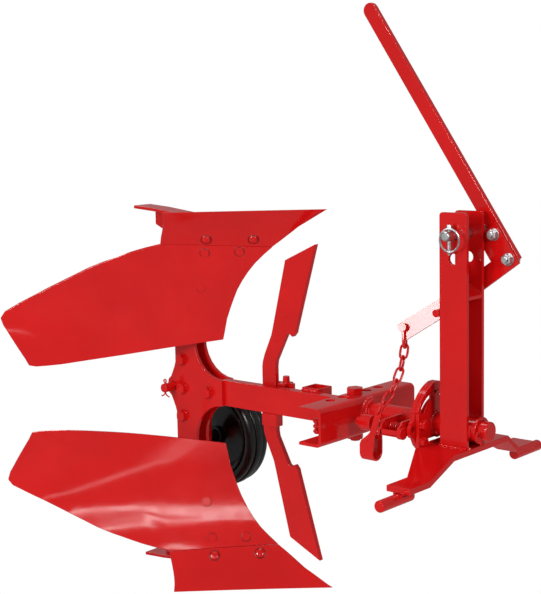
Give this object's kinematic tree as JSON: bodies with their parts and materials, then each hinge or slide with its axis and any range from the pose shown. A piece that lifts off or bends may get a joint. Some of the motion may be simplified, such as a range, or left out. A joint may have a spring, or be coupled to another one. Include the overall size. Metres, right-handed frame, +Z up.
{
  "type": "mounted turnover plough",
  "caption": "Small tractor-mounted turnover plough with mirrored moldboard bodies, knife coulters, a turning latch with chain and lever, and a swinging gauge wheel.",
  "frame": {"origin": "on the floor at the middle of the plough's bounding box, with the plough standing on its lower share and heel strip", "axes": "+X forward to the tractor along the turning axis, +Y to the left, +Z up"},
  "size_m": [1.0415, 0.6366, 1.2175],
  "materials": {
    "red_paint": "gloss",
    "zinc_plated": "zinc plated",
    "wheel_black": "gloss",
    "tyre_rubber": "satin"
  },
  "bodies": {
    "headstock": {"mast_plate_near": "red_paint", "mast_plate_far": "red_paint", "mast_brace": "red_paint", "crossbar": "red_paint", "link_pin_near": "red_paint", "link_pin_far": "red_paint", "pivot_sleeve": "red_paint", "stop_plate": "red_paint", "lock_plate": "red_paint", "top_link_pin": "zinc_plated", "lever_pivot_pin": "red_paint", "lever_spacer": "red_paint", "chain_link_1": "red_paint", "chain_link_2": "red_paint", "chain_link_3": "red_paint", "chain_link_4": "red_paint", "chain_link_5": "red_paint", "chain_link_6": "red_paint"},
    "turnover": {"pivot_shaft": "red_paint", "shaft_washer": "red_paint", "cross_channel": "red_paint", "beam_bolt": "red_paint", "beam": "red_paint", "leg_plate_near": "red_paint", "leg_plate_far": "red_paint", "moldboard_upper": "red_paint", "moldboard_lower": "red_paint", "share_upper": "red_paint", "share_lower": "red_paint", "frog_upper": "red_paint", "frog_lower": "red_paint", "heel_upper": "red_paint", "heel_lower": "red_paint", "coulter_upper": "red_paint", "coulter_lower": "red_paint", "coulter_clamp": "red_paint", "clamp_block": "red_paint", "leg_socket": "red_paint", "latch_bracket": "red_paint", "latch_plunger": "red_paint", "latch_housing": "red_paint", "latch_spring": "red_paint", "release_fork": "red_paint", "swing_boss": "red_paint"},
    "release_lever": {"lever_plate": "red_paint", "lever_arm": "red_paint", "lever_handle": "red_paint", "lever_rest_bar": "red_paint", "chain_shackle": "red_paint", "shackle_bolt": "red_paint"},
    "wheel_arm": {"wheel_arm": "red_paint", "swing_pin": "red_paint", "wheel_axle": "red_paint"},
    "wheel": {"wheel_rim": "wheel_black", "wheel_tyre": "tyre_rubber"}
  },
  "joints": [
    {"name": "turnover", "type": "hinge", "parent": "headstock", "child": "turnover", "pos_m": [0.42, 0.04, 0.404], "axis": [1, 0, 0], "range_deg": [-180, 0], "deforming": ["chain_link_1", "chain_link_2", "chain_link_3", "chain_link_4", "chain_link_5", "chain_link_6"]},
    {"name": "release_lever", "type": "hinge", "parent": "headstock", "child": "release_lever", "pos_m": [0.42, 0.079, 0.671], "axis": [0, 1, 0], "range_deg": [0, 6]},
    {"name": "wheel_swing", "type": "hinge", "parent": "turnover", "child": "wheel_arm", "pos_m": [-0.315, 0.04, 0.404], "axis": [0, 1, 0], "range_deg": [0, 180]},
    {"name": "wheel_spin", "type": "hinge", "parent": "wheel_arm", "child": "wheel", "pos_m": [-0.315, 0.1525, 0.264], "axis": [0, 1, 0], "continuous": true}
  ]
}
